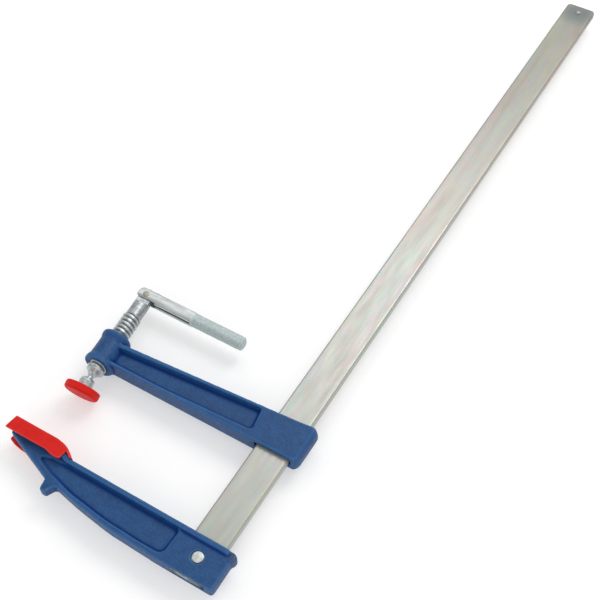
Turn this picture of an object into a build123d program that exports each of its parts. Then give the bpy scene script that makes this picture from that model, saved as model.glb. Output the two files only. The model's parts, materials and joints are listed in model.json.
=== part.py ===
from build123d import *
import math
import os

# F clamp. Millimetres. The origin is the centre of the fixed jaw's clamping face.
# +Y runs along the bar towards its free end, -X is the side of the arms' tips, +Z is up,
# normal to the bar's wide face.

# ---- driving dimensions ----
BAR_WIDTH = 30.0
BAR_THICK = 8.0
BAR_LENGTH = 734.8
BAR_X = 171.0                # bar's centreline
BAR_START_Y = -42.0          # the end inside the fixed jaw
BAR_EDGE_R = 2.0
BAR_CORNER_R = 4.0
BAR_POCKET_GAP = 0.8         # all round play of the bar in the fixed jaw, both sides together

ARM_HALF = 9.0               # half thickness of the ribs
JAW_HALF = 6.6               # half thickness of the fixed jaw below its top rib
NOSE_HALF = 4.5              # the same at its nose
NOSE_TAPER_X = (30.0, 60.0)  # where the nose thickens into the jaw
WEB_HALF = 3.0               # half thickness of the web between the pockets
POCKET_DRAFT = 14.0          # degrees
HEEL_X = 194.6               # outside of both heels
CORNER_X = 196.6             # the fixed jaw's top corner stands proud of its heel

JAW_TOP_Y = -9.0             # the fixed jaw's edge that faces the sliding arm
JAW_BOTTOM_Y = -42.3
LAND_Y = -2.7                # raised land under the plastic cap
LAND_LOW_Y = -7.4            # lower side of the land's flange
RIB_WIDTH = 4.2
NOSE_LOW = (-20.8, -12.4)
SPUR = [(29.4, -31.0), (31.2, -41.2), (36.8, -41.4), (38.6, -37.4), (41.0, -32.6)]

CAP_WALL = 2.0
CAP_INNER_HALF = ARM_HALF + 0.1
CAP_EDGE = 0.4

RIVET_POS = (BAR_X, -25.3)
RIVET_R = 4.6
RIVET_HOLE_R = 5.2
RIVET_EDGE_R = 0.7
PRESS_GAP = 0.02             # pins in the bar's holes
CUT = 40.0                   # cutters reach this far past what they cut

ARM_Y = 78.3                 # the sliding arm's clamping side
ARM_TIP_TOP_Y = 98.9
ARM_HEEL_TOP_Y = 110.9
HEEL_STEP = 1.4              # the heel's end rises above the arm's upper side
SLOT_X = (153.4, 186.9)
SLOT_HALF = 4.4

STOP_Y = 682.0
STOP_SHANK_R = 2.5
STOP_HEAD_R = 3.1
STOP_HEAD_HEIGHT = 1.6
STOP_HEAD_ROUNDING = 0.85    # of the head's height

LEAN = 4.7                   # degrees between the spindle and the bar
BALL_POS = (1.44, 57.2)      # centre of the spindle's ball
BALL_R = 4.25
NECK_R = 2.4
THREAD_R = 8.25
THREAD_ROOT_R = 6.3
PITCH = 4.0
THREAD_CREST = 1.5           # along the spindle, on top of a ridge
THREAD_FLANK = 0.7           # the same on each of its slopes
CONE_LENGTH = 6.5            # from the neck to the thread
THREAD_START = 13.5          # along the spindle, from the ball's centre
THREAD_END = 74.5
PLAIN_R = 7.25
PIVOT_S = 97.1               # handle pivot, from the ball's centre
HEAD_HALF = 3.8              # half thickness of the flattened head
HEAD_FLAT_LENGTH = 9.3       # flats below the pivot
RUNNING_GAP = 0.05

BOSS_S = (17.8, 49.4)        # the boss along the spindle
BOSS_WAIST_R = 12.2
BOSS_END_R = 13.6
BOSS_LIP = 3.6

PAD_DROOP = 14.0             # degrees the loose pad hangs when the clamp lies flat
PAD_CAP_R = 15.5
PAD_BACK = 4.4               # ball centre to the back of the pad's cap
PAD_CAP_HEIGHT = 6.9
PAD_DISC_R = 13.6
PAD_BEVEL = 1.6
PAD_LIP = 1.2                # the cap's lip over the plate's edge
PLATE_DEPTH = 1.0            # from the cap's back to the plate
PLATE_THICK = 3.0
CUP_R = 6.2
CUP_TOP = 4.2                # from the ball's centre
CUP_BEVEL = (1.0, 1.6)
CUP_MOUTH_BEVEL = 0.5

HANDLE_LENGTH = 108.8
HANDLE_NEAR = 7.8            # pivot to the near end
HANDLE_HALF_Y = 5.4
HANDLE_HALF_Z = 5.9
HANDLE_CORNER_R = 2.6
HANDLE_WALL = 1.7
PIVOT_OFFSET = 1.2           # the pivot lies this far from the handle's middle, towards the mouth
MOUTH_LENGTH = 19.0
SEAM_END = 56.0              # end of the seam, from the near end
SEAM_HALF = 1.4
SIDE_CUT = 4.4               # depth of the cuts through the channel's wall
HEAD_CLEARANCE = 0.8         # between the spindle's head and the channel's web
HANDLE_END_WALL = 4.0
HANDLE_END_R = 2.2
HANDLE_RIVET_R = 2.5
RIVET_HEAD_R = 3.4
RIVET_HEAD_HEIGHT = 0.7
RIVET_HEAD_BEVEL = 0.5

LEAF_THICK = 0.8
LEAF_WIDTH = 5.0
LEAF_LENGTH = 30.0
HOOK_RISE = 1.5

# ---- derived places ----
lean = math.radians(LEAN)
droop = math.radians(PAD_DROOP)
spindle_x = Vector(math.cos(lean), math.sin(lean), 0)
spindle_up = Vector(-math.sin(lean), math.cos(lean), 0)
ball = Vector(BALL_POS[0], BALL_POS[1], 0)
pivot = ball + spindle_up * PIVOT_S
pad_up = Vector(-math.sin(lean) * math.cos(droop), math.cos(lean) * math.cos(droop), math.sin(droop))

SPINDLE_PLANE = Plane(origin=ball, x_dir=spindle_x, z_dir=(0, 0, 1))
SPINDLE_AXIS = Axis(ball, spindle_up)
PAD_PLANE = Plane(origin=ball, x_dir=spindle_x, z_dir=spindle_x.cross(pad_up))
PAD_AXIS = Axis(ball, pad_up)
handle_origin = Vector(pivot.X - HANDLE_NEAR, pivot.Y + PIVOT_OFFSET, 0)
HANDLE_END_PLANE = Plane(origin=handle_origin, x_dir=(0, 1, 0), z_dir=(1, 0, 0))


def save(piece, label):
    """Label a finished piece and write its STEP file."""
    piece.part.label = label
    export_step(piece.part, f"parts/{label}.step")


def filleted_face(points, radii):
    """Face inside a closed outline whose corners have the given radii."""
    with BuildSketch(mode=Mode.PRIVATE) as face:
        with BuildLine():
            FilletPolyline(*points, radius=radii, close=True)
        make_face()
    return face.sketch


os.makedirs("parts", exist_ok=True)

# ---- bar ----
with BuildPart() as bar:
    with BuildSketch(Plane.XY.offset(-BAR_THICK / 2)):
        with Locations((BAR_X, BAR_START_Y + BAR_LENGTH / 2)):
            Rectangle(BAR_WIDTH, BAR_LENGTH)
    extrude(amount=BAR_THICK)
    fillet(bar.edges().filter_by(Axis.Z).group_by(Axis.Y)[-1], BAR_CORNER_R)
    fillet(bar.faces().sort_by(Axis.Z)[-1].edges() + bar.faces().sort_by(Axis.Z)[0].edges(), BAR_EDGE_R)
    with Locations(Location((RIVET_POS[0], RIVET_POS[1], 0))):
        Hole(RIVET_R + PRESS_GAP)
    with Locations(Location((BAR_X, STOP_Y, 0))):
        Hole(STOP_SHANK_R + PRESS_GAP)
save(bar, "bar")

# ---- stop pin with a domed head on each side ----
pin_end = BAR_THICK / 2 + STOP_HEAD_HEIGHT
with BuildPart() as bar_stop_pin:
    with BuildSketch(Plane.XY.offset(-pin_end)):
        with Locations((BAR_X, STOP_Y)):
            Circle(STOP_SHANK_R)
    extrude(amount=2 * pin_end)
    for side in (1, -1):
        with BuildSketch(Plane.XY.offset(side * BAR_THICK / 2)):
            with Locations((BAR_X, STOP_Y)):
                Circle(STOP_HEAD_R)
        extrude(amount=side * STOP_HEAD_HEIGHT)
    head_faces = [bar_stop_pin.faces().sort_by(Axis.Z)[0], bar_stop_pin.faces().sort_by(Axis.Z)[-1]]
    fillet([edge for face in head_faces for edge in face.edges()], STOP_HEAD_HEIGHT * STOP_HEAD_ROUNDING)
save(bar_stop_pin, "bar_stop_pin")

# ---- fixed jaw ----
jaw_outline = filleted_face(
    [(-21.0, LAND_Y), NOSE_LOW, *SPUR, (66.0, -37.0), (98.0, -41.0), (140.0, JAW_BOTTOM_Y),
     (HEEL_X, JAW_BOTTOM_Y), (HEEL_X, -16.5), (CORNER_X, -14.0), (CORNER_X, JAW_TOP_Y),
     (39.5, JAW_TOP_Y), (22.0, LAND_Y)],
    [2.0, 2.5, 2.0, 2.2, 2.0, 3.0, 3.0, 60.0, 100.0, 100.0, 2.6, 1.5, 1.5, 3.0, 4.0, 6.0],
)
rib_low = JAW_TOP_Y - RIB_WIDTH
rib_outline = filleted_face(
    [(-21.0, LAND_Y), (-21.3, LAND_LOW_Y), (20.0, LAND_LOW_Y), (36.0, rib_low), (190.0, rib_low),
     (191.5, JAW_TOP_Y), (39.5, JAW_TOP_Y), (22.0, LAND_Y)],
    [1.5, 1.5, 6.0, 6.0, 1.5, 2.0, 4.0, 6.0],
)
jaw_pocket = filleted_face(
    [(9.5, -18.0), (28.5, -25.6), (56.0, -32.2), (92.0, -36.4), (126.0, -37.6), (146.6, -37.4),
     (147.2, rib_low), (24.0, rib_low)],
    [2.5, 40.0, 90.0, 90.0, 60.0, 6.0, 4.0, 4.0],
)
nose_waste = [(-CUT, NOSE_HALF), (NOSE_TAPER_X[0], NOSE_HALF), (NOSE_TAPER_X[1], JAW_HALF),
              (-CUT, 2 * JAW_HALF)]
with BuildPart() as fixed_jaw:
    with BuildSketch(Plane.XY):
        add(jaw_outline)
    extrude(amount=JAW_HALF, both=True)
    for side in (1, -1):
        with BuildSketch(Plane.XZ.offset(JAW_TOP_Y)):
            with BuildLine():
                Polyline(*[(x, side * z) for x, z in nose_waste], close=True)
            make_face()
        extrude(amount=2 * CUT, mode=Mode.SUBTRACT)
    with BuildSketch(Plane.XY):
        add(rib_outline)
    extrude(amount=ARM_HALF, both=True)
    for side in (1, -1):
        with BuildSketch(Plane.XY.offset(side * JAW_HALF)):
            add(jaw_pocket)
        extrude(amount=-side * (JAW_HALF - WEB_HALF), taper=POCKET_DRAFT, mode=Mode.SUBTRACT)
    with BuildSketch(Plane.XZ):
        with Locations((BAR_X, 0)):
            RectangleRounded(BAR_WIDTH + BAR_POCKET_GAP, BAR_THICK + BAR_POCKET_GAP, BAR_EDGE_R)
    extrude(amount=2 * CUT, mode=Mode.SUBTRACT)
    with Locations(Location((RIVET_POS[0], RIVET_POS[1], 0))):
        Hole(RIVET_HOLE_R)
save(fixed_jaw, "fixed_jaw")

# ---- rivet through the fixed jaw and the bar, peened almost flush ----
with BuildPart() as jaw_rivet:
    with BuildSketch(Plane.XY.offset(-JAW_HALF)):
        with Locations(RIVET_POS):
            Circle(RIVET_R)
    extrude(amount=2 * JAW_HALF)
    fillet(jaw_rivet.edges(), RIVET_EDGE_R)
save(jaw_rivet, "jaw_rivet")

# ---- plastic cap over the fixed jaw's land, open at both ends ----
cap_outline = filleted_face(
    [(-22.6, 0.0), (-24.6, -12.9), (16.4, -12.7), (25.0, -14.9), (28.5, -15.7), (31.2, -15.0),
     (32.2, -7.6), (37.6, -10.0), (40.2, -9.0), (31.0, -4.1), (22.3, 0.0)],
    [1.2, 0.4, 3.0, 3.0, 0.8, 0.8, 0.4, 0.4, 0.4, 14.0, 14.0],
)
# the skirt on the -Z side hangs lower
deep_skirt = filleted_face(
    [(-24.3, -8.0), (-24.9, -13.2), (-18.6, -15.6), (-10.0, -17.0), (18.0, -17.0), (30.0, -17.6),
     (31.0, -8.0)],
    [0.5, 1.0, 6.0, 6.0, 3.0, 1.0, 0.5],
)
land_clear = LAND_Y + 2 * RUNNING_GAP
top_clear = JAW_TOP_Y + 2 * RUNNING_GAP
with BuildPart() as jaw_cap:
    with BuildSketch(Plane.XY):
        add(cap_outline)
    extrude(amount=CAP_INNER_HALF + CAP_WALL, both=True)
    with BuildSketch(Plane.XY.offset(-CAP_INNER_HALF - CAP_WALL)):
        add(deep_skirt)
    extrude(amount=CAP_WALL)
    with BuildSketch(Plane.XY):
        with BuildLine():
            FilletPolyline((-CUT, land_clear), (22.0, land_clear), (39.5, top_clear), (2 * CUT, top_clear),
                           (2 * CUT, -CUT), (-CUT, -CUT), radius=[0.5, 6.0, 4.0, 1.0, 1.0, 1.0], close=True)
        make_face()
    extrude(amount=CAP_INNER_HALF, both=True, mode=Mode.SUBTRACT)
    outer_faces = [jaw_cap.faces().sort_by(Axis.Z)[0], jaw_cap.faces().sort_by(Axis.Z)[-1]]
    chamfer([edge for face in outer_faces for edge in face.edges()], CAP_EDGE)
save(jaw_cap, "jaw_cap")

# ---- sliding arm ----
heel_end_y = ARM_HEEL_TOP_Y + HEEL_STEP
arm_outline = filleted_face(
    [(-6.0, ARM_Y), (HEEL_X, ARM_Y), (HEEL_X, heel_end_y), (189.0, heel_end_y),
     (176.0, ARM_HEEL_TOP_Y), (-6.0, ARM_TIP_TOP_Y)],
    [1.0, 5.0, 3.5, 8.0, 40.0, 1.0],
)
arm_pocket = filleted_face(
    [(5.0, 81.0), (60.0, 81.0), (100.0, 82.9), (147.8, 85.2), (144.6, 106.6), (5.0, 95.8)],
    [1.0, 200.0, 200.0, 3.0, 3.0, 1.0],
)
with BuildPart() as sliding_arm:
    with BuildSketch(Plane.XY):
        add(arm_outline)
    extrude(amount=ARM_HALF, both=True)
    for side in (1, -1):
        with BuildSketch(Plane.XY.offset(side * ARM_HALF)):
            add(arm_pocket)
        extrude(amount=-side * (ARM_HALF - WEB_HALF), taper=POCKET_DRAFT, mode=Mode.SUBTRACT)
    with BuildSketch(SPINDLE_PLANE):
        with BuildLine():
            low, high = BOSS_S
            FilletPolyline((0, low), (BOSS_END_R, low), (BOSS_END_R, low + BOSS_LIP),
                           (BOSS_WAIST_R, low + 2 * BOSS_LIP), (BOSS_WAIST_R, high - 2 * BOSS_LIP),
                           (BOSS_END_R, high - BOSS_LIP), (BOSS_END_R, high), (0, high),
                           radius=[1.0, 1.4, 1.6, 5.0, 5.0, 1.6, 1.4, 1.0], close=True)
        make_face()
    revolve(axis=SPINDLE_AXIS)
    with BuildSketch(Plane(origin=ball, x_dir=spindle_x, z_dir=spindle_up)):
        Circle(THREAD_R + RUNNING_GAP)
    extrude(amount=2 * CUT, mode=Mode.SUBTRACT)
    with BuildSketch(Plane.XZ.offset(-ARM_Y)):
        with Locations((sum(SLOT_X) / 2, 0)):
            RectangleRounded(SLOT_X[1] - SLOT_X[0], 2 * SLOT_HALF, 1.0)
    extrude(amount=CUT, both=True, mode=Mode.SUBTRACT)
save(sliding_arm, "sliding_arm")

# ---- spindle: ball, neck, ridged thread, plain shank and flattened head ----
thread_turns = int((THREAD_END - THREAD_START) / PITCH)
thread_points = []
for turn in range(thread_turns):
    start = THREAD_START + turn * PITCH
    thread_points += [(THREAD_R, start), (THREAD_R, start + THREAD_CREST),
                      (THREAD_ROOT_R, start + THREAD_CREST + THREAD_FLANK),
                      (THREAD_ROOT_R, start + PITCH - THREAD_FLANK)]
thread_top = THREAD_START + thread_turns * PITCH
neck_joint = (NECK_R, math.sqrt(BALL_R ** 2 - NECK_R ** 2))
with BuildPart() as spindle:
    with BuildSketch(SPINDLE_PLANE):
        with BuildLine():
            Line((0, -BALL_R), (0, PIVOT_S + PLAIN_R))
            RadiusArc((0, PIVOT_S + PLAIN_R), (PLAIN_R, PIVOT_S), PLAIN_R)
            Polyline((PLAIN_R, PIVOT_S), (PLAIN_R, thread_top), (THREAD_R, thread_top),
                     *reversed(thread_points))
            Polyline((THREAD_R, THREAD_START), (NECK_R, THREAD_START - CONE_LENGTH), neck_joint)
            ThreePointArc(neck_joint, (BALL_R, 0), (0, -BALL_R))
        make_face()
    revolve(axis=SPINDLE_AXIS)
    flat_start = PIVOT_S - HEAD_FLAT_LENGTH
    with BuildSketch(Plane(origin=ball + spindle_up * flat_start, x_dir=spindle_x, z_dir=spindle_up)):
        with Locations((0, HEAD_HALF + CUT / 2), (0, -HEAD_HALF - CUT / 2)):
            Rectangle(CUT, CUT)
    extrude(amount=CUT, mode=Mode.SUBTRACT)
    with Locations(Location((pivot.X, pivot.Y, 0))):
        Hole(HANDLE_RIVET_R + RUNNING_GAP)
save(spindle, "spindle")

# ---- steel pressure plate with the cup crimped over the ball (axis points away from the plate) ----
cap_face = PAD_BACK + PAD_CAP_HEIGHT
disc_back = PAD_BACK + PLATE_DEPTH
disc_front = disc_back + PLATE_THICK
cavity_r = BALL_R + 2 * RUNNING_GAP
lip_height = 2.0             # the cup closes over the ball this far past its middle
lip_r = math.sqrt(cavity_r ** 2 - lip_height ** 2)
with BuildPart() as swivel_pad:
    with BuildSketch(PAD_PLANE):
        with BuildLine():
            Polyline((0, -disc_front), (PAD_DISC_R, -disc_front), (PAD_DISC_R, -disc_back),
                     (CUP_R, -disc_back),
                     (CUP_R, CUP_TOP - CUP_BEVEL[1]), (CUP_R - CUP_BEVEL[0], CUP_TOP),
                     (lip_r + CUP_MOUTH_BEVEL, CUP_TOP), (lip_r, lip_height))
            ThreePointArc((lip_r, lip_height), (cavity_r, 0), (0, -cavity_r))
            Line((0, -cavity_r), (0, -disc_front))
        make_face()
    revolve(axis=PAD_AXIS)
save(swivel_pad, "swivel_pad")

# ---- plastic cap snapped over the pressure plate ----
with BuildPart() as pad_cap:
    with BuildSketch(PAD_PLANE):
        with BuildLine():
            Polyline((0, -cap_face), (PAD_CAP_R - PAD_BEVEL, -cap_face), (PAD_CAP_R, -cap_face + PAD_BEVEL),
                     (PAD_CAP_R, -PAD_BACK), (PAD_DISC_R - PAD_LIP, -PAD_BACK),
                     (PAD_DISC_R - PAD_LIP, -disc_back + RUNNING_GAP),
                     (PAD_DISC_R + 2 * RUNNING_GAP, -disc_back + RUNNING_GAP),
                     (PAD_DISC_R + 2 * RUNNING_GAP, -disc_front - RUNNING_GAP),
                     (0, -disc_front - RUNNING_GAP), (0, -cap_face))
        make_face()
    revolve(axis=PAD_AXIS)
save(pad_cap, "pad_cap")

# ---- handle: pressed channel with a closed grip ----
inner_y = 2 * (HANDLE_HALF_Y - HANDLE_WALL)
inner_z = 2 * (HANDLE_HALF_Z - HANDLE_WALL)
with BuildPart() as handle:
    with BuildSketch(HANDLE_END_PLANE):
        RectangleRounded(2 * HANDLE_HALF_Y, 2 * HANDLE_HALF_Z, HANDLE_CORNER_R)
    extrude(amount=HANDLE_LENGTH)
    fillet(handle.faces().sort_by(Axis.X)[-1].edges(), HANDLE_END_R)
    with BuildSketch(HANDLE_END_PLANE):
        RectangleRounded(inner_y, inner_z, HANDLE_CORNER_R - HANDLE_WALL)
    extrude(amount=HANDLE_LENGTH - HANDLE_END_WALL, mode=Mode.SUBTRACT)
    # mouth on the -Y side, the seam beyond it, and the web cut back round the spindle's head
    mouth_y = handle_origin.Y - HANDLE_HALF_Y
    web_y = handle_origin.Y + HANDLE_HALF_Y
    web_end = pivot.X + PLAIN_R + HEAD_CLEARANCE
    with BuildSketch(Plane.XY):
        with Locations((handle_origin.X + MOUTH_LENGTH / 2 - 1, mouth_y + 1)):
            Rectangle(MOUTH_LENGTH + 2, SIDE_CUT)
        with Locations(((handle_origin.X + web_end) / 2 - 1, web_y - 1)):
            Rectangle(web_end - handle_origin.X + 2, SIDE_CUT)
    extrude(amount=inner_z / 2, both=True, mode=Mode.SUBTRACT)
    with BuildSketch(Plane.XY):
        with Locations((handle_origin.X + SEAM_END / 2, mouth_y)):
            SlotOverall(SEAM_END, SIDE_CUT)
    extrude(amount=SEAM_HALF, both=True, mode=Mode.SUBTRACT)
    # near end rounded about the pivot
    with BuildSketch(Plane.XY):
        with Locations((pivot.X - CUT / 2, pivot.Y)):
            Rectangle(CUT, CUT)
        with Locations((pivot.X, pivot.Y)):
            Circle(HANDLE_NEAR, mode=Mode.SUBTRACT)
    extrude(amount=HANDLE_HALF_Z + 1, both=True, mode=Mode.SUBTRACT)
    with Locations(Location((pivot.X, pivot.Y, 0))):
        Hole(HANDLE_RIVET_R)
save(handle, "handle")

# ---- handle rivet ----
top = HANDLE_HALF_Z + RIVET_HEAD_HEIGHT
with BuildPart() as handle_rivet:
    with BuildSketch(Plane(origin=(pivot.X, pivot.Y, 0), x_dir=(1, 0, 0), z_dir=(0, -1, 0))):
        with BuildLine():
            Polyline((0, -top), (RIVET_HEAD_R - RIVET_HEAD_BEVEL, -top), (RIVET_HEAD_R, -HANDLE_HALF_Z),
                     (HANDLE_RIVET_R, -HANDLE_HALF_Z), (HANDLE_RIVET_R, HANDLE_HALF_Z),
                     (RIVET_HEAD_R, HANDLE_HALF_Z), (RIVET_HEAD_R - RIVET_HEAD_BEVEL, top), (0, top),
                     close=True)
        make_face()
    revolve(axis=Axis((pivot.X, pivot.Y, 0), (0, 0, 1)))
save(handle_rivet, "handle_rivet")

# ---- detent spring: a leaf in the channel, hooked over the web's end ----
web_inner = web_y - HANDLE_WALL - RUNNING_GAP
hook_x = web_end - LEAF_THICK - RUNNING_GAP
with BuildPart() as detent_spring:
    with BuildSketch(Plane.XY):
        with BuildLine():
            Polyline((hook_x, web_y + HOOK_RISE), (hook_x, web_inner - LEAF_THICK),
                     (hook_x + LEAF_LENGTH, web_inner - LEAF_THICK), (hook_x + LEAF_LENGTH, web_inner),
                     (hook_x + LEAF_THICK, web_inner), (hook_x + LEAF_THICK, web_y + HOOK_RISE), close=True)
        make_face()
    extrude(amount=LEAF_WIDTH / 2, both=True)
save(detent_spring, "detent_spring")
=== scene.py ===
import json
import math

import bmesh
import bpy
import numpy as np
from mathutils import Matrix, Vector, noise


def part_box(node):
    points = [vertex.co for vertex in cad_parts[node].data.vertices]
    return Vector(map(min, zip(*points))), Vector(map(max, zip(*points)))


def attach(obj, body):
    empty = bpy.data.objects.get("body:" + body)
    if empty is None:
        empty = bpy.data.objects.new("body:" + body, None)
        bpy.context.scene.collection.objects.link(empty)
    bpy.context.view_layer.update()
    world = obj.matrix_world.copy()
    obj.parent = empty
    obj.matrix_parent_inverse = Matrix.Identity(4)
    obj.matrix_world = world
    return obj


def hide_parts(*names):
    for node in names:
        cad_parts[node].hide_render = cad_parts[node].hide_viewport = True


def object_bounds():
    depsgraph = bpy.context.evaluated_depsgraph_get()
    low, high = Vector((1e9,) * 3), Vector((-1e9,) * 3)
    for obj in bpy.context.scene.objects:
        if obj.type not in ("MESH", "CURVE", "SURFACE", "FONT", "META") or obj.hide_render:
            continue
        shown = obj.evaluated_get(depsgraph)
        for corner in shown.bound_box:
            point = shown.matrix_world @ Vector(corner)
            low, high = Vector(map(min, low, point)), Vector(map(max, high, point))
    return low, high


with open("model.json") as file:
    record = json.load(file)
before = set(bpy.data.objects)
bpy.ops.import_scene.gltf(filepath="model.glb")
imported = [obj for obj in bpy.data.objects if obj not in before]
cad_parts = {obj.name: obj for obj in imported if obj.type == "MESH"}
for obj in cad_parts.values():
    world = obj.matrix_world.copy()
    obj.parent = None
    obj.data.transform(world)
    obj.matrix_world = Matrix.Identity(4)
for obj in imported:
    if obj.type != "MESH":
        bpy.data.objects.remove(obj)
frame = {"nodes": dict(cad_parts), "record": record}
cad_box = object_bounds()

# Sizes are in mm, and MM turns them into Blender's metres. Places taken from the frame are in metres.
MM = 0.001

# ---- places taken from the frame ----
record = frame["record"]
joints = {joint["name"]: joint for joint in record["behaviour"]["joints"]}
mounts = {mount["name"]: mount for mount in record["mounts"]}
ball = Vector(joints["spindle_turn"]["pos_m"])
spindle_up = -Vector(joints["spindle_turn"]["axis"]).normalized()
pivot = Vector(joints["handle_fold"]["pos_m"])
pad_up = -Vector(mounts["pad_face"]["axis"]).normalized()
pivot_s = (pivot - ball).dot(spindle_up) / MM        # the handle's pivot, up the spindle from its ball
rail_low, rail_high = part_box("bar")
stop_place = tuple((low + high) / 2 for low, high in zip(*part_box("bar_stop_pin")))


# ---- making meshes ----
MERGE = 0.0001               # points closer than this become one
CORNER_REACH = 0.45          # the most of a side that a rounded corner may take
RELAX = 0.5                  # how far a smoothing pass moves a point towards its neighbours
EDGE_HEIGHT = 0.12           # how far a vertex stands out where the attribute edge reaches 1
BOX_MARGIN = 0.01            # how far a roughened surface stays inside its node's box


def new_piece(name, mesh, body, *nodes):
    """Link a mesh as a named piece that rides on a body and stands for the CAD nodes."""
    piece = bpy.data.objects.new(name, mesh)
    bpy.context.collection.objects.link(piece)
    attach(piece, body)
    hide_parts(*nodes)
    return piece


def paint(piece, material):
    piece.data.materials.clear()
    piece.data.materials.append(material)


def mesh_from(name, points, faces):
    """A smooth-shaded mesh with outward normals from point and face lists, in metres."""
    mesh = bpy.data.meshes.new(name)
    mesh.from_pydata([tuple(point) for point in points], [], faces)
    work = bmesh.new()
    work.from_mesh(mesh)
    bmesh.ops.remove_doubles(work, verts=work.verts, dist=MERGE * MM)
    bmesh.ops.recalc_face_normals(work, faces=work.faces)
    work.to_mesh(mesh)
    work.free()
    mesh.shade_smooth()
    return mesh


def axes_about(up):
    """Two unit vectors square to up, the second along Z as far as it can be."""
    reference = Vector((0, 0, 1)) if abs(up.z) < 0.99 else Vector((1, 0, 0))
    side = up.cross(reference).normalized()
    return side, side.cross(up).normalized()


def smoothstep(low, high, value):
    """0 below low, 1 above high, and an even rise between them."""
    t = min(max((value - low) / (high - low), 0.0), 1.0)
    return t * t * (3 - 2 * t)


def rounded(profile, radius, steps=4):
    """The (r, s) profile in mm with each inner corner replaced by an arc-like curve of about that radius."""
    result = [Vector(profile[0])]
    for before, corner, after in zip(profile, profile[1:], profile[2:]):
        before, corner, after = Vector(before), Vector(corner), Vector(after)
        reach = min(radius, (before - corner).length * CORNER_REACH, (after - corner).length * CORNER_REACH)
        start = corner + (before - corner).normalized() * reach
        end = corner + (after - corner).normalized() * reach
        for step in range(steps + 1):
            t = step / steps
            result.append(start * (1 - t) ** 2 + corner * 2 * t * (1 - t) + end * t ** 2)
    result.append(Vector(profile[-1]))
    return result


def tube_faces(rows, steps):
    """The faces that join rows of points, steps to a row, into a tube."""
    faces = []
    for row in range(rows - 1):
        for step in range(steps):
            a = row * steps + step
            b = row * steps + (step + 1) % steps
            faces.append((a, b, b + steps, a + steps))
    return faces


def lathe(name, profile, origin, up, steps, shape=None):
    """Turn an (r, s) profile in mm about the axis through origin. shape(r, s, angle) may change r."""
    side, other = axes_about(up)
    points = []
    for r, s in profile:
        for step in range(steps):
            angle = 2 * math.pi * step / steps
            radius = shape(r, s, angle) if shape else r
            offset = side * math.cos(angle) * radius + other * math.sin(angle) * radius
            points.append(origin + (offset + up * s) * MM)
    return mesh_from(name, points, tube_faces(len(profile), steps))


def points_of(mesh):
    """The mesh's points as an (n, 3) array, in metres."""
    points = np.empty(len(mesh.vertices) * 3)
    mesh.vertices.foreach_get("co", points)
    return points.reshape(-1, 3)


def set_points(mesh, points):
    mesh.vertices.foreach_set("co", points.ravel())
    mesh.update()


def edges_of(mesh):
    edges = np.empty(len(mesh.edges) * 2, dtype=np.int64)
    mesh.edges.foreach_get("vertices", edges)
    return edges.reshape(-1, 2)


def normals_of(mesh):
    normals = np.empty(len(mesh.vertices) * 3)
    mesh.vertex_normals.foreach_get("vector", normals)
    return normals.reshape(-1, 3)


def store(mesh, name, values):
    """Keep one value for each vertex as an attribute that a material can read."""
    attribute = mesh.attributes.new(name, "FLOAT", "POINT")
    attribute.data.foreach_set("value", values.astype(np.float32))


def neighbour_mean(values, edges):
    """Mean of each vertex's neighbours, for an (n, k) array."""
    count = np.bincount(edges.ravel(), minlength=len(values)).reshape(-1, 1)
    total = np.zeros_like(values)
    for column in range(values.shape[1]):
        total[:, column] = np.bincount(edges[:, 0], values[edges[:, 1], column], len(values))
        total[:, column] += np.bincount(edges[:, 1], values[edges[:, 0], column], len(values))
    return total / np.maximum(count, 1)


def remeshed(name, node, voxel, passes):
    """A copy of a CAD node's mesh, voxel remeshed and smoothed so that its edges are softly rounded."""
    source = bpy.data.objects.new(name, frame["nodes"][node].data.copy())
    bpy.context.collection.objects.link(source)
    modifier = source.modifiers.new("voxels", "REMESH")
    modifier.mode = "VOXEL"
    modifier.voxel_size = voxel * MM
    bpy.context.view_layer.update()
    shaped = source.evaluated_get(bpy.context.evaluated_depsgraph_get())
    mesh = bpy.data.meshes.new_from_object(shaped)
    bpy.data.objects.remove(source)
    points, edges = points_of(mesh), edges_of(mesh)
    for _ in range(passes):
        points += RELAX * (neighbour_mean(points, edges) - points)
    set_points(mesh, points)
    mesh.materials.clear()
    mesh.shade_smooth()
    mesh.name = name
    return mesh


def roughen(mesh, layers, seed, node):
    """Move the surface in and out by noise, inside the node's box. A layer is (height in mm, size in mm)."""
    points = points_of(mesh)
    shift = np.zeros(len(points))
    for layer, (height, size) in enumerate(layers):
        # each seed and each layer reads a different part of the noise
        offset = Vector((seed * 3.1 + layer * 7.7, seed * 5.3, layer * 2.9))
        scale = 1 / (size * MM)
        shift += [height * MM * noise.noise(Vector(point) * scale + offset) for point in points]
    points += normals_of(mesh) * shift.reshape(-1, 1)
    low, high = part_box(node)
    set_points(mesh, np.clip(points, np.array(low) + BOX_MARGIN * MM, np.array(high) - BOX_MARGIN * MM))


def mark_edges(mesh, spread=3):
    """Store the attribute edge: 0.5 on flat surface, up to 1 on ridges and down to 0 in hollows."""
    points, edges = points_of(mesh), edges_of(mesh)
    smooth = points.copy()
    for _ in range(spread):
        smooth = neighbour_mean(smooth, edges)
    out = ((points - smooth) * normals_of(mesh)).sum(axis=1).reshape(-1, 1)
    out = neighbour_mean(out, edges)
    store(mesh, "edge", np.clip(out / (EDGE_HEIGHT * MM), -1, 1).ravel() * 0.5 + 0.5)


# ---- materials ----
NEAR_CORE = 0.35             # the share of a spot's radius over which it is at full strength

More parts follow.
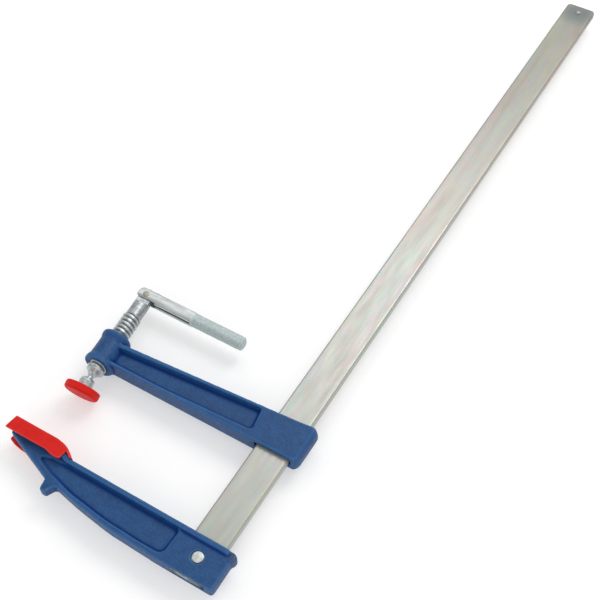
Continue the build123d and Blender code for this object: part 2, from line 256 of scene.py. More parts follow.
ENAMEL_DARK = (0.0065, 0.046, 0.150)
ENAMEL_LIGHT = (0.0100, 0.064, 0.195)
ENAMEL_SPECK = (0.019, 0.096, 0.250)
ENAMEL_PIT = (0.005, 0.034, 0.125)
# painted highlight: the casting's ridges paler
ENAMEL_RIDGE_HIGHLIGHT = (0.022, 0.115, 0.300)
# painted shade: the casting's hollows deep blue
ENAMEL_HOLLOW_SHADE = (0.0045, 0.030, 0.155)
ENAMEL_WORN = (0.085, 0.120, 0.165)
RUBBED_BROWN = (0.060, 0.042, 0.036)
RUBBED_CORNER = (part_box("fixed_jaw")[1][0], -10.5 * MM, 6.0 * MM)
RUBBED_RADIUS = 7.5

RED_DARK = (0.56, 0.0085, 0.0060)
RED_LIGHT = (0.64, 0.0130, 0.0090)
# painted highlight along the plastic's edges
RED_EDGE_HIGHLIGHT = (0.80, 0.095, 0.075)

PLATED = 0.85                # how metallic zinc plate is
# painted shade for the screw's thread roots, also darkening its plain part
ROOT_SHADE = (0.085, 0.095, 0.100)
RAIL_DARK = (0.355, 0.350, 0.310)
RAIL_LIGHT = (0.450, 0.445, 0.392)
RAIL_TIP = (0.20, 0.225, 0.22)
RAIL_TIP_RADIUS = 24.0
# painted shade: the rail darker towards its far end
FAR_END_SHADE = (0.86, 0.82, 0.78)
FAR_END_SHADE_RADIUS = 330.0
# painted shadow: dark spots for the shaded gaps at the rail's near end
GAP_SHADOW_COLOUR = (0.006, 0.007, 0.012)
GAP_SHADOW_RADIUS = 4.6
GAP_SHADOW_PLACES = [(x, rail_low[1], 0.0) for x in (rail_low[0] + 2.5 * MM, rail_high[0] - 0.3 * MM)]
RAINBOW = [
    (0.30, (0.48, 0.45, 0.37)),
    (0.40, (0.51, 0.40, 0.38)),
    (0.47, (0.45, 0.42, 0.45)),
    (0.53, (0.38, 0.46, 0.46)),
    (0.60, (0.42, 0.48, 0.38)),
    (0.70, (0.50, 0.46, 0.35)),
]

CHANNEL_DARK = (0.42, 0.45, 0.45)
CHANNEL_LIGHT = (0.64, 0.67, 0.66)
GRIP_DARK = (0.33, 0.40, 0.40)
GRIP_LIGHT = (0.55, 0.62, 0.61)
GRIP_ROUGHNESS = (0.62, 0.62, 0.62)


class Nodes:
    """Short names for the nodes of one material."""

    def __init__(self, name):
        self.material = bpy.data.materials.new(name)
        self.material.use_nodes = True
        self.tree = self.material.node_tree
        self.shader = self.tree.nodes["Principled BSDF"]
        self.place = self.add("ShaderNodeTexCoord").outputs["Object"]

    def add(self, kind, **settings):
        node = self.tree.nodes.new(kind)
        for key, value in settings.items():
            setattr(node, key, value)
        return node

    def join(self, output, socket):
        self.tree.links.new(output, socket)

    def put(self, name, value):
        """Give one input of the shader a node's output, or a plain value on its own socket."""
        socket = self.shader.inputs[name]
        if isinstance(value, bpy.types.NodeSocket):
            self.join(value, socket)
        else:
            socket.default_value = value

    def noise(self, size, stretch=(1, 1, 1), detail=3.0, roughness=0.55, distortion=0.0):
        """Noise whose features are about size mm, longer along an axis by its stretch."""
        mapping = self.add("ShaderNodeMapping")
        mapping.inputs["Scale"].default_value = [1 / (size * MM * s) for s in stretch]
        texture = self.add("ShaderNodeTexNoise")
        texture.inputs["Scale"].default_value = 1.0
        texture.inputs["Detail"].default_value = detail
        texture.inputs["Roughness"].default_value = roughness
        texture.inputs["Distortion"].default_value = distortion
        self.join(self.place, mapping.inputs["Vector"])
        self.join(mapping.outputs["Vector"], texture.inputs["Vector"])
        return texture.outputs["Fac"]

    def ramp(self, value, stops):
        """Colours or greys by value; stops are (position, colour or grey)."""
        node = self.add("ShaderNodeValToRGB")
        while len(node.color_ramp.elements) < len(stops):
            node.color_ramp.elements.new(0.5)
        for element, (position, colour) in zip(node.color_ramp.elements, stops):
            element.position = position
            element.color = (*colour, 1) if isinstance(colour, tuple) else (colour, colour, colour, 1)
        self.join(value, node.inputs["Fac"])
        return node.outputs["Color"]

    def mix(self, factor, first, second, blend="MIX"):
        """Blend two colours, each a node's output or a plain colour."""
        node = self.add("ShaderNodeMix", data_type="RGBA", blend_type=blend)
        for value, socket in ((factor, node.inputs[0]), (first, node.inputs[6]), (second, node.inputs[7])):
            if isinstance(value, bpy.types.NodeSocket):
                self.join(value, socket)
            else:
                socket.default_value = (*value, 1) if isinstance(value, tuple) else value
        return node.outputs[2]

    def product(self, first, second):
        return self.mix(1.0, first, second, "MULTIPLY")

    def bump(self, *heights):
        """Bump from (height, distance in mm) pairs, one on top of another."""
        normal = None
        for height, distance in heights:
            node = self.add("ShaderNodeBump")
            node.inputs["Distance"].default_value = distance * MM
            self.join(height, node.inputs["Height"])
            if normal:
                self.join(normal, node.inputs["Normal"])
            normal = node.outputs["Normal"]
        self.put("Normal", normal)

    def near(self, point, radius):
        """1 at a point, in metres, falling to 0 at radius mm from it."""
        node = self.add("ShaderNodeVectorMath", operation="DISTANCE")
        self.join(self.place, node.inputs[0])
        node.inputs[1].default_value = point
        return self.ramp(node.outputs["Value"], [(radius * NEAR_CORE * MM, 1.0), (radius * MM, 0.0)])

    def attribute(self, name):
        return self.add("ShaderNodeAttribute", attribute_name=name).outputs["Fac"]


def blue_enamel():
    """Semi-gloss enamel on a sand casting: grainy, with a painted highlight that makes ridges paler and a
    deep blue painted shade, with less specular, in hollows, with patchy wear along edges and a brown rub at
    one corner of the fixed jaw."""
    nodes = Nodes("blue_enamel")
    edge = nodes.attribute("edge")
    specks = nodes.ramp(nodes.noise(0.9, detail=2), [(0.42, 0.0), (0.70, 0.6)])
    pits = nodes.ramp(nodes.noise(1.3, detail=3), [(0.30, 0.55), (0.46, 0.0)])
    # painted highlight on the ridges
    ridge_highlight = nodes.ramp(edge, [(0.66, 0.0), (0.95, 0.75)])
    # painted shade in the hollows
    hollow_shade = nodes.ramp(edge, [(0.18, 1.0), (0.47, 0.0)])
    sharp_edges = nodes.ramp(edge, [(0.74, 0.0), (0.98, 1.0)])
    wear_patches = nodes.ramp(nodes.noise(4.0, detail=5), [(0.54, 0.0), (0.70, 0.55)])
    rub_patches = nodes.ramp(nodes.noise(2.0, detail=4), [(0.40, 0.0), (0.58, 0.9)])
    layers = [
        (specks, ENAMEL_SPECK),
        (pits, ENAMEL_PIT),
        (ridge_highlight, ENAMEL_RIDGE_HIGHLIGHT),
        (hollow_shade, ENAMEL_HOLLOW_SHADE),
        (nodes.product(sharp_edges, wear_patches), ENAMEL_WORN),
        (nodes.product(nodes.near(RUBBED_CORNER, RUBBED_RADIUS), rub_patches), RUBBED_BROWN),
    ]
    tone = nodes.ramp(nodes.noise(7.0, detail=4), [(0.35, ENAMEL_DARK), (0.65, ENAMEL_LIGHT)])
    for where, colour in layers:
        tone = nodes.mix(where, tone, colour)
    nodes.put("Base Color", tone)
    nodes.put("Roughness", nodes.ramp(nodes.noise(3.0), [(0.3, 0.40), (0.7, 0.54)]))
    # specular lower in hollows, which goes with their painted shade
    nodes.put("Specular IOR Level", nodes.ramp(edge, [(0.18, 0.04), (0.47, 0.30)]))
    nodes.bump((nodes.noise(2.4), 0.32), (nodes.noise(0.85, detail=2), 0.16))
    return nodes.material


def red_plastic(name, specular, edge_highlight):
    """Moulded red plastic with a fine grain and a painted highlight that makes its edges paler by the given
    share.
    """
    nodes = Nodes(name)
    tone = nodes.ramp(nodes.noise(12.0), [(0.35, RED_DARK), (0.65, RED_LIGHT)])
    # painted highlight on the edges
    edge = nodes.ramp(nodes.attribute("edge"), [(0.62, 0.0), (0.90, edge_highlight)])
    nodes.put("Base Color", nodes.mix(edge, tone, RED_EDGE_HIGHLIGHT))
    nodes.put("Roughness", nodes.ramp(nodes.noise(6.0), [(0.3, 0.42), (0.7, 0.54)]))
    nodes.put("Specular IOR Level", specular)
    nodes.bump((nodes.noise(5.0), 0.08), (nodes.noise(0.9, detail=2), 0.025))
    return nodes.material


def rail_plate():
    """Zinc on the rail: long pastel streaks, small blotches, a painted shade that makes it duller towards the
    far end, and grey at the tip.
    Two dark spots on its near end are painted shadow, standing for the shaded gaps beside it in the window of
    the jaw's heel."""
    nodes = Nodes("zinc_rail")
    base = nodes.ramp(nodes.noise(6.0, (1, 9, 1), detail=4), [(0.32, RAIL_DARK), (0.68, RAIL_LIGHT)])
    streaks = nodes.ramp(nodes.noise(5.0, (1, 28, 1), detail=3, distortion=0.3), RAINBOW)
    blotches = nodes.ramp(nodes.noise(4.5, (1, 2.2, 1), detail=3, distortion=0.8), RAINBOW)
    film = nodes.mix(nodes.ramp(nodes.noise(30.0), [(0.40, 0.15), (0.62, 0.75)]), streaks, blotches)
    where = nodes.ramp(nodes.noise(11.0, (1, 12, 1)), [(0.35, 0.25), (0.62, 0.85)])
    plate = nodes.mix(where, base, film)
    # painted shade towards the far end
    plate = nodes.mix(nodes.near(stop_place, FAR_END_SHADE_RADIUS), plate, FAR_END_SHADE, "MULTIPLY")
    plate = nodes.mix(nodes.near(stop_place, RAIL_TIP_RADIUS), plate, RAIL_TIP)
    # painted shadow in the gaps beside the rail's near end
    for place in GAP_SHADOW_PLACES:
        plate = nodes.mix(nodes.near(place, GAP_SHADOW_RADIUS), plate, GAP_SHADOW_COLOUR)
    nodes.put("Base Color", plate)
    nodes.put("Metallic", PLATED)
    nodes.put("Roughness", nodes.ramp(nodes.noise(4.0, (1, 8, 1)), [(0.35, 0.40), (0.65, 0.50)]))
    nodes.bump((nodes.noise(0.9, (1, 6, 1), detail=2), 0.02))
    return nodes.material


def zinc(name, light, dark, roughness, size, roots=False):
    """Zinc plate: soft patches of about size mm, fine grain and, where the attribute root is high, a darker
    colour: painted shade in the screw's thread roots, and a darkening of its plain part.
    """
    nodes = Nodes(name)
    base = nodes.ramp(nodes.noise(size, detail=4), [(0.36, dark), (0.64, light)])
    if roots:
        # painted shade in the thread's roots; the plain part is darkened too
        base = nodes.mix(nodes.ramp(nodes.attribute("root"), [(0.50, 0.0), (1.0, 0.8)]), base, ROOT_SHADE)
    low, high = roughness
    nodes.put("Base Color", base)
    nodes.put("Metallic", PLATED)
    nodes.put("Roughness", nodes.ramp(nodes.noise(size * 0.6), [(0.35, low), (0.65, high)]))
    nodes.bump((nodes.noise(0.9, detail=2), 0.02))
    return nodes.material


def handle_plate():
    """Dull zinc on the pressed handle: streaked on the channel, matte and mottled on the closed grip."""
    nodes = Nodes("zinc_handle")
    grip = nodes.attribute("grip")
    streaks = nodes.ramp(nodes.noise(3.0, (7, 1, 1), detail=4), [(0.36, CHANNEL_DARK), (0.64, CHANNEL_LIGHT)])
    mottle = nodes.ramp(nodes.noise(1.5, detail=5, roughness=0.7), [(0.34, GRIP_DARK), (0.66, GRIP_LIGHT)])
    patches = nodes.ramp(nodes.noise(4.0), [(0.35, 0.34), (0.65, 0.46)])
    nodes.put("Base Color", nodes.mix(grip, streaks, mottle))
    nodes.put("Metallic", nodes.ramp(grip, [(0.0, 0.85), (1.0, 0.45)]))
    nodes.put("Roughness", nodes.mix(grip, patches, GRIP_ROUGHNESS))
    nodes.bump((nodes.noise(1.3, detail=4), 0.06))
    return nodes.material


enamel = blue_enamel()
cap_plastic = red_plastic("red_cap", specular=0.18, edge_highlight=0.55)
pad_plastic = red_plastic("red_pad", specular=0.07, edge_highlight=0.08)
rail_zinc = rail_plate()
handle_zinc = handle_plate()
screw_zinc = zinc("zinc_screw", (0.62, 0.65, 0.66), (0.36, 0.39, 0.40), (0.36, 0.50), 3.0, roots=True)
rivet_zinc = zinc("zinc_rivet", (0.62, 0.65, 0.65), (0.46, 0.49, 0.49), (0.45, 0.58), 3.0)
pin_zinc = zinc("zinc_pin", (0.42, 0.38, 0.37), (0.26, 0.25, 0.25), (0.50, 0.62), 1.5)
yellow_zinc = zinc("yellow_zinc", (0.48, 0.44, 0.36), (0.28, 0.25, 0.20), (0.35, 0.50), 1.2)
dark_spring = zinc("spring_steel", (0.22, 0.22, 0.22), (0.12, 0.12, 0.12), (0.35, 0.50), 2.0)


# ---- rail ----
RAIL_EDGE = 2.0
RAIL_CORNER = 4.0


def rail():
    """The flat bar, its long edges rounded and its two free corners rounded more."""
    low, high = (Vector(corner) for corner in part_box("bar"))
    size = high - low
    work = bmesh.new()
    bmesh.ops.create_cube(work, size=1.0)
    for vertex in work.verts:
        vertex.co = low + Vector([(c + 0.5) * s for c, s in zip(vertex.co, size)])

    def at_free_corner(edge):
        a, b = (vertex.co for vertex in edge.verts)
        return abs(a.z - b.z) > size.z / 2 and a.y > high.y - MM

    def on_rim(edge):
        """Whether a level edge lies between a broad face and a side."""
        a, b = (vertex.co for vertex in edge.verts)
        broad = [abs(face.normal.z) > 0.9 for face in edge.link_faces]
        return abs(a.z - b.z) < MM and len(broad) == 2 and any(broad) and not all(broad)

    corners = [edge for edge in work.edges if at_free_corner(edge)]
    bmesh.ops.bevel(work, geom=corners, offset=RAIL_CORNER * MM, segments=8, profile=0.5, affect="EDGES")
    rims = [edge for edge in work.edges if on_rim(edge)]
    bmesh.ops.bevel(work, geom=rims, offset=RAIL_EDGE * MM, segments=6, profile=0.5, affect="EDGES")
    mesh = bpy.data.meshes.new("rail")
    work.to_mesh(mesh)
    work.free()
    mesh.shade_smooth()
    piece = new_piece("rail", mesh, "frame", "bar")
    normals = piece.modifiers.new("normals", "WEIGHTED_NORMAL")
    normals.keep_sharp = True
    paint(piece, rail_zinc)


# ---- the two castings ----
CAST_VOXEL = 0.65
CAST_PASSES = 10
CAST_LAYERS = [(0.10, 14.0), (0.05, 3.0)]
HEEL_HALF = 9.0              # half of a heel's thickness
HEEL_RUN = 16.0              # how far in from the heel's end the drawing in starts
HEEL_ROUNDNESS = 2.6


def bull_nosed(mesh, node, depth):
    """Draw the far end's upper and lower edges in along X, so that the heel is round from top to bottom."""
    points = points_of(mesh)
    _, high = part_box(node)
    half = min(high[2], HEEL_HALF * MM)
    near_end = np.clip((points[:, 0] - (high[0] - HEEL_RUN * MM)) / (HEEL_RUN * MM), 0, 1)
    height = np.clip(np.abs(points[:, 2]) / half, 0, 1)
    points[:, 0] -= depth * MM * near_end ** 2 * height ** HEEL_ROUNDNESS
    set_points(mesh, points)


def casting(name, node, body, seed, heel):
    """An enamelled casting in the shape of its CAD solid, its heel drawn in by heel mm at the edges."""
    mesh = remeshed(name, node, CAST_VOXEL, CAST_PASSES)
    bull_nosed(mesh, node, heel)
    mark_edges(mesh)
    roughen(mesh, CAST_LAYERS, seed, node)
    paint(new_piece(name, mesh, body, node), enamel)


# ---- cap on the fixed jaw ----
COVER_VOXEL = 0.36
COVER_PASSES = 4
COVER_LAYERS = [(0.05, 12.0)]
COVER_EDGE_R = 1.9
COVER_TOP = [(-26.0, 0.0), (19.2, 0.0), (22.3, -0.55), (25.1, -1.35), (31.0, -4.1), (40.2, -9.0)]
TAIL_X = (23.0, 40.5)        # where the ramp at the cap's end starts and stops
TAIL_BULGE = 1.4
TAIL_NARROWING = 0.055


def edge_rounded(mesh, radius, top, half):
    """Round the two upper edges along X, where the surface y = top(x) meets the sides z = +half and -half."""
    x, y, z = (points_of(mesh) / MM).T
    from_top = radius - (np.interp(x, *zip(*top)) - y)
    from_side = radius - (half - np.abs(z))
    reach = np.hypot(from_top, from_side)
    corner = (from_top > 0) & (from_side > 0) & (reach > radius)
    pull = np.where(corner, radius / np.maximum(reach, radius), 1.0)
    y = y - from_top * (1 - pull)
    z = np.sign(z) * (np.abs(z) - from_side * (1 - pull))
    set_points(mesh, np.stack([x, y, z], axis=1) * MM)


def jaw_cover():
    """The snap-on cap: its near skirt shallow, its far one deeper, its tail a ramp on the jaw's rib."""
    mesh = remeshed("jaw_cover", "jaw_cap", COVER_VOXEL, COVER_PASSES)
    edge_rounded(mesh, COVER_EDGE_R, COVER_TOP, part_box("jaw_cap")[1][2] / MM)
    points = points_of(mesh)
    along = np.clip((points[:, 0] / MM - TAIL_X[0]) / (TAIL_X[1] - TAIL_X[0]), 0, 1)
    points[:, 1] += TAIL_BULGE * MM * np.sin(math.pi * along)
    points[:, 2] *= 1 - TAIL_NARROWING * along ** 2
    set_points(mesh, points)
    mark_edges(mesh)
    roughen(mesh, COVER_LAYERS, seed=3, node="jaw_cap")
    paint(new_piece("jaw_cover", mesh, "frame", "jaw_cap"), cap_plastic)


# ---- riveted pins ----
PIN_STEPS = 48
DOME_POINTS = 9
HEAD_RIM = 0.15              # the straight side of a head
HEAD_DEPTH = 0.3             # from a head's rim to where the shank starts


def turned_pin(name, node, body, material, radius, head_radius, half_length, rise):
    """A pin along Z with a low dome, rise mm high, on each end."""
    middle = sum((Vector(corner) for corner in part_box(node)), Vector()) / 2
    angles = np.linspace(0, math.pi / 2, DOME_POINTS)
    dome = [(head_radius * math.cos(a), half_length + rise * math.sin(a)) for a in angles]
    head = [(head_radius, half_length - HEAD_RIM)] + dome
    shank = [(radius, HEAD_DEPTH - half_length), (radius, half_length - HEAD_DEPTH)]
    profile = [(r, -s) for r, s in reversed(head)] + shank + head
    mesh = lathe(name, profile, middle, Vector((0, 0, 1)), PIN_STEPS)
    paint(new_piece(name, mesh, body, node), material)


# ---- lead screw, with s the height above the ball's centre ----
BALL_R = 4.2
BALL_TOP = 3.2               # where the ball runs into the neck
NECK_R = 2.5
CONE_START = 5.6
CONE_HOLLOW = 1.9
FACETS = 6
FACET_DEPTH = 0.45
FACET_RUN = 2.0              # the facets grow to their full depth over this much
THREAD_R = 8.2
ROOT_R = 6.5
FIRST_THREAD_R = 7.6         # where the cone meets the thread
PITCH = 4.0
FLANK = 0.22                 # shares of the pitch
CREST_END = 0.62
THREAD_START = 13.2
THREAD_END = 74.5
RUN_IN = 1.0                 # the thread's start is spread over this much each way
RUN_OUT = 2.0
PLAIN_R = 7.2
PLAIN_DULLNESS = 0.72        # the attribute root on the plain part
HEAD_REACH = 9.3             # from the handle's pivot down to where the head starts
HEAD_START = pivot_s - HEAD_REACH
HEAD_HALF = 3.75             # half the flattened head's thickness
HEAD_RUN = 0.8
SCREW_STEPS = 72
NECK_ROW = 0.35              # from one row of points to the next
THREAD_ROW = 0.25
PLAIN_ROW = 1.0


def thread_height(phase):
    """0 at the root and 1 on the crest, for a phase of one pitch from 0 to 1."""
    return smoothstep(0.0, FLANK, phase) * (1 - smoothstep(CREST_END, CREST_END + FLANK, phase))


def cone_radius(s, angle):
    """The hollow, faceted cone that widens from the neck to the thread."""
    rise = max(s - CONE_START, 0) / (THREAD_START - RUN_IN - CONE_START)
    cone = NECK_R + rise ** CONE_HOLLOW * (FIRST_THREAD_R - NECK_R)
    fading = smoothstep(CONE_START, CONE_START + FACET_RUN, s) * (1 - rise ** 3)
    facets = FACET_DEPTH * math.cos(FACETS * angle) * fading
    return max(NECK_R, cone + facets)


def screw_radius(s, angle):
    if s <= BALL_TOP:
        return math.sqrt(max(BALL_R ** 2 - s ** 2, 0))
    if s < THREAD_START - RUN_IN:
        return cone_radius(s, angle)
    if s >= THREAD_END:
        return PLAIN_R
    phase = (s / PITCH - angle / (2 * math.pi)) % 1.0
    threaded = ROOT_R + (THREAD_R - ROOT_R) * thread_height(phase)
    to_plain = smoothstep(THREAD_END - RUN_OUT, THREAD_END, s)
    start = smoothstep(THREAD_START - RUN_IN, THREAD_START + RUN_IN, s)
    full = threaded * (1 - to_plain) + PLAIN_R * to_plain
    return FIRST_THREAD_R * (1 - start) + full * start


def screw_rows():
    """The heights of the screw's rows of points, closest where its shape changes most."""
    end_angles = np.linspace(0, math.pi / 2, 14)
    return np.concatenate([
        np.linspace(-BALL_R, -BALL_R * 0.6, 6),
        np.arange(-2.2, THREAD_START - RUN_IN, NECK_ROW),
        np.arange(THREAD_START - RUN_IN, THREAD_END, THREAD_ROW),
        np.arange(THREAD_END, HEAD_START, PLAIN_ROW),
        np.linspace(HEAD_START, HEAD_START + HEAD_RUN, 4),
        np.arange(HEAD_START + 1.5, pivot_s, PLAIN_ROW),
        pivot_s + PLAIN_R * np.sin(end_angles),
    ])


def mark_roots(mesh):
    """Store the attribute root: 1 in the thread's roots, 0 on its crests, in between on the plain part."""
    points = (points_of(mesh) - np.array(ball)) / MM
    along = points @ np.array(spindle_up)
    across = np.linalg.norm(points - np.outer(along, spindle_up), axis=1)
    plain_start = THREAD_END - RUN_OUT / 2
    threaded = (along > THREAD_START) & (along < plain_start)
    depth = np.clip((THREAD_R - across) / (THREAD_R - ROOT_R), 0, 1) * threaded
    depth[(along >= plain_start) & (along < HEAD_START)] = PLAIN_DULLNESS
    store(mesh, "root", depth)


def lead_screw():
    """The spindle from its ball to its flattened head, which is round about the handle's pivot."""
    side, other = axes_about(spindle_up)
    rows = screw_rows()
    points = []
    for s in rows:
        beyond = max(s - pivot_s, 0.0)
        width = math.sqrt(max(PLAIN_R ** 2 - beyond ** 2, 0.0)) / PLAIN_R
        flat = smoothstep(HEAD_START, HEAD_START + HEAD_RUN, s)
        limit = PLAIN_R * (1 - flat) + HEAD_HALF * flat
        for step in range(SCREW_STEPS):
            angle = 2 * math.pi * step / SCREW_STEPS
            radius = screw_radius(s, angle)
            across, depth = radius * math.cos(angle), radius * math.sin(angle)
            if s >= HEAD_START:
                across *= width
                depth = min(max(depth, -limit), limit)
            points.append(ball + (side * across + other * depth + spindle_up * s) * MM)
    faces = tube_faces(len(rows), SCREW_STEPS)
    faces.append(tuple(range(SCREW_STEPS)))
    faces.append(tuple((len(rows) - 1) * SCREW_STEPS + step for step in range(SCREW_STEPS)))
    mesh = mesh_from("lead_screw", points, faces)
    mark_roots(mesh)
    paint(new_piece("lead_screw", mesh, "screw", "spindle"), screw_zinc)


# ---- swivel pad, with heights above the ball's centre ----
PAD_STEPS = 96
SOCKET_R = 4.3
THROAT_R = 3.75
LIP_R = 4.45
LIP_TOP = 4.15
CUP_R = 6.2
CUP_SHOULDER = 2.4
CUP_SLOPE = 1.1              # how far in the cup's shoulder leans
FLATS = 8
FLAT_DEPTH = 0.28
FLAT_RISE = (0.5, 3.5)       # the heights between which the flats deepen
FLAT_FROM_R = 4.8            # what is closer to the axis stays round
DISC_R = 13.6
DISC_BACK = 5.4
DISC_FRONT = 8.0
CAP_R = 15.5
CAP_BACK = 4.4
CAP_FACE = 11.3
CAP_LIP_R = 12.6
CAP_GAP = 0.05               # between the disc's front and the cap


def pressure_plate():
    """The cup closed over the ball in eight pressed flats, on its round plate."""
    profile = [
        (0, -DISC_FRONT),
        (DISC_R, -DISC_FRONT),
        (DISC_R, -DISC_BACK),
        (CUP_R, -DISC_BACK),
        (CUP_R, CUP_SHOULDER),
        (CUP_R - CUP_SLOPE, LIP_TOP - 0.05),
        (LIP_R, LIP_TOP),
        (THROAT_R, CUP_SHOULDER),
        (SOCKET_R, 0.6),
        (0.05, -SOCKET_R),
    ]

    def pressed(r, s, angle):
        flat = FLAT_DEPTH * (0.5 + 0.5 * math.cos(FLATS * angle)) * smoothstep(*FLAT_RISE, s)
        return r - flat if FLAT_FROM_R < r < CUP_R + 0.1 else r

    mesh = lathe("pressure_plate", rounded(profile, radius=0.6), ball, pad_up, PAD_STEPS, pressed)
    paint(new_piece("pressure_plate", mesh, "pad", "swivel_pad"), screw_zinc)


def plate_cover():
    """The plastic cap on the plate, its rim turned in behind the disc."""
    inner_front = -DISC_FRONT - CAP_GAP
    profile = [
        (0.02, -CAP_FACE),
        (CAP_R - 1.8, -CAP_FACE),
        (CAP_R - 0.1, -CAP_FACE + 1.4),
        (CAP_R, -CAP_BACK - 0.8),
        (CAP_R - 0.5, -CAP_BACK),
        (CAP_LIP_R, -CAP_BACK),
        (CAP_LIP_R - 0.2, -CAP_BACK - 0.9),
        (DISC_R + 0.05, -CAP_BACK - 1.0),
        (DISC_R + 0.1, inner_front),
        (0.02, inner_front),
    ]
    mesh = lathe("plate_cover", rounded(profile, radius=0.9), ball, pad_up, PAD_STEPS)
    mark_edges(mesh, spread=2)
    paint(new_piece("plate_cover", mesh, "pad", "pad_cap"), pad_plastic)


# ---- handle ----
HANDLE_VOXEL = 0.34
HANDLE_PASSES = 4
SPRING_VOXEL = 0.22
SPRING_PASSES = 3
GRIP_START = 42.0
GRIP_RUN = 3.0
GRIP_SQUEEZE = 0.35          # 0 keeps the CAD section and 1 makes it an oval
GROOVE_FROM_END = 3.0
GROOVE_WIDTH = 0.6
GROOVE_DEPTH = 0.06          # as a share of the grip's half width
NEAR_AXIS = 0.1              # points closer than this to the grip's axis stay


def crank_handle():
    """The pressed handle: its grip rounder than the CAD solid, with a shallow groove near its end."""
    mesh = remeshed("crank_handle", "handle", HANDLE_VOXEL, HANDLE_PASSES)
    low, high = (Vector(corner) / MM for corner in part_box("handle"))
    centre_y = (low.y + high.y) / 2
    half_y, half_z = (high.y - low.y) / 2, (high.z - low.z) / 2
    points = points_of(mesh) / MM
    for point in points:
        grip = smoothstep(GRIP_START, GRIP_START + GRIP_RUN, point[0])
        y, z = point[1] - centre_y, point[2]
        if grip > 0 and (abs(y) > NEAR_AXIS or abs(z) > NEAR_AXIS):
            reach = max(abs(y) / half_y, abs(z) / half_z)
            oval = math.hypot(y / half_y, z / half_z)
            squeeze = (reach / oval) ** GRIP_SQUEEZE
            groove = GROOVE_DEPTH * math.exp(-((point[0] - high.x + GROOVE_FROM_END) / GROOVE_WIDTH) ** 2)
            share = (1 + (squeeze - 1) * grip) * (1 - groove * grip)
            point[1] = centre_y + y * share
            point[2] = z * share
    set_points(mesh, points * MM)
    store(mesh, "grip", np.clip((points[:, 0] - GRIP_START) / GRIP_RUN, 0, 1))
    paint(new_piece("crank_handle", mesh, "crank", "handle"), handle_zinc)


def detent_leaf():
    mesh = remeshed("detent_leaf", "detent_spring", SPRING_VOXEL, SPRING_PASSES)
    paint(new_piece("detent_leaf", mesh, "crank", "detent_spring"), dark_spring)


# ---- floor, light and camera, in metres ----
FLOOR_SIZE = 8
FLOOR_PLACE = (0.2, 0.2, cad_box[0][2] - 0.0005)
FLOOR_DARK = 0.56
FLOOR_LIGHT = 0.58
FLOOR_GLOW = 0.42
SKY_LOW = 0.84
SKY_HIGH = 0.80
SKY_STRENGTH = 0.85
CAMERA_PLACE = Vector((0.44009, -0.27335, 0.80571))
CAMERA_YAW = 0.589
CAMERA_PITCH = 0.9369
CAMERA_ROLL = 0.0524
CAMERA_LENS = 68.94


def stage():
    bpy.ops.mesh.primitive_plane_add(size=FLOOR_SIZE, location=FLOOR_PLACE)
    floor = bpy.context.object
    floor.name = "floor"
    nodes = Nodes("floor_paper")
    nodes.put("Base Color", nodes.ramp(nodes.noise(40.0), [(0.3, FLOOR_DARK), (0.7, FLOOR_LIGHT)]))
    nodes.put("Roughness", 0.9)
    nodes.put("Emission Color", (1.0, 1.0, 1.0, 1.0))
    nodes.put("Emission Strength", FLOOR_GLOW)
    floor.data.materials.append(nodes.material)


def sky():
    """A pale studio sky, a little darker overhead."""
    world = bpy.data.worlds.new("studio")
    bpy.context.scene.world = world
    world.use_nodes = True
    tree = world.node_tree
    background = tree.nodes["Background"]
    where = tree.nodes.new("ShaderNodeTexCoord")
    split = tree.nodes.new("ShaderNodeSeparateXYZ")
    ramp = tree.nodes.new("ShaderNodeValToRGB")
    tree.links.new(where.outputs["Generated"], split.inputs["Vector"])
    tree.links.new(split.outputs["Z"], ramp.inputs["Fac"])
    tree.links.new(ramp.outputs["Color"], background.inputs["Color"])
    for element, (position, grey) in zip(ramp.color_ramp.elements, ((0.0, SKY_LOW), (1.0, SKY_HIGH))):
        element.position = position
        element.color = (grey, grey, grey, 1)
    background.inputs["Strength"].default_value = SKY_STRENGTH


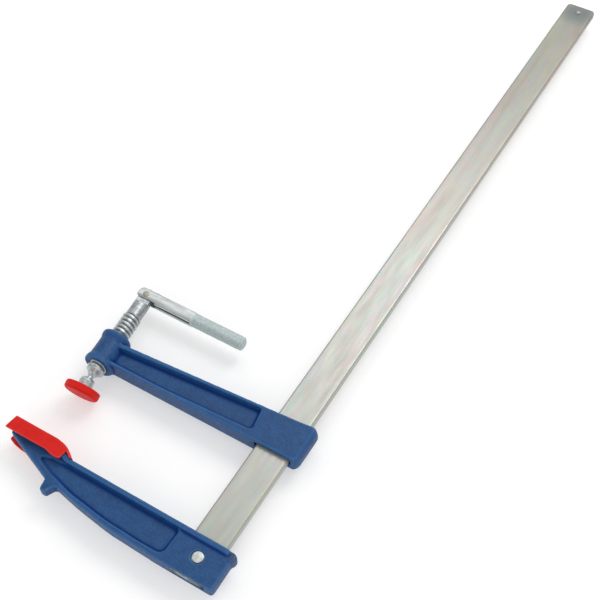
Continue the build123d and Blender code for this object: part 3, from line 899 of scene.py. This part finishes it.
def soft_light(name, place, aim, width, power):
    """A round area light, width metres across, of that many watts."""
    light = bpy.data.lights.new(name, "AREA")
    light.shape = "DISK"
    light.size = width
    light.energy = power
    lamp = bpy.data.objects.new(name, light)
    bpy.context.collection.objects.link(lamp)
    lamp.location = place
    lamp.rotation_euler = (Vector(aim) - Vector(place)).to_track_quat("-Z", "Y").to_euler()


def camera():
    """A camera turned by its yaw about Z, tipped down by its pitch and rolled about its line of sight."""
    ahead = Vector((-math.sin(CAMERA_YAW), math.cos(CAMERA_YAW), 0))
    right = Vector((math.cos(CAMERA_YAW), math.sin(CAMERA_YAW), 0))
    forward = ahead * math.cos(CAMERA_PITCH) - Vector((0, 0, math.sin(CAMERA_PITCH)))
    down = forward.cross(right)
    right, down = (right * math.cos(CAMERA_ROLL) + down * math.sin(CAMERA_ROLL),
                   down * math.cos(CAMERA_ROLL) - right * math.sin(CAMERA_ROLL))
    data = bpy.data.cameras.new("camera")
    data.lens = CAMERA_LENS
    data.sensor_width = 36.0
    data.clip_start = 0.01
    seat = bpy.data.objects.new("camera", data)
    bpy.context.collection.objects.link(seat)
    turn = Matrix((right, -down, -forward)).transposed().to_4x4()
    seat.matrix_world = Matrix.Translation(CAMERA_PLACE) @ turn
    bpy.context.scene.camera = seat


camera()
stage()
sky()
soft_light("key", place=(0.45, 1.15, 1.35), aim=(0.1, 0.2, 0), width=0.9, power=10)
soft_light("sheen", place=(-0.55, 1.45, 2.10), aim=(0.17, 0.25, 0), width=1.0, power=6)
soft_light("fill", place=(0.6, -1.2, 0.9), aim=(0.1, 0.1, 0), width=1.2, power=5.2)
bpy.context.scene.view_settings.view_transform = "Standard"

rail()
casting("jaw_casting", "fixed_jaw", "frame", seed=1, heel=1.8)
casting("arm_casting", "sliding_arm", "slider", seed=2, heel=3.2)
jaw_cover()
turned_pin("jaw_rivet_pin", "jaw_rivet", "frame", rivet_zinc,
           radius=4.5, head_radius=4.55, half_length=6.2, rise=0.38)
turned_pin("stop_pin", "bar_stop_pin", "frame", pin_zinc,
           radius=2.45, head_radius=3.1, half_length=4.1, rise=1.4)
turned_pin("handle_pin", "handle_rivet", "crank", yellow_zinc,
           radius=2.45, head_radius=2.7, half_length=5.95, rise=0.4)
lead_screw()
pressure_plate()
plate_cover()
crank_handle()
detent_leaf()
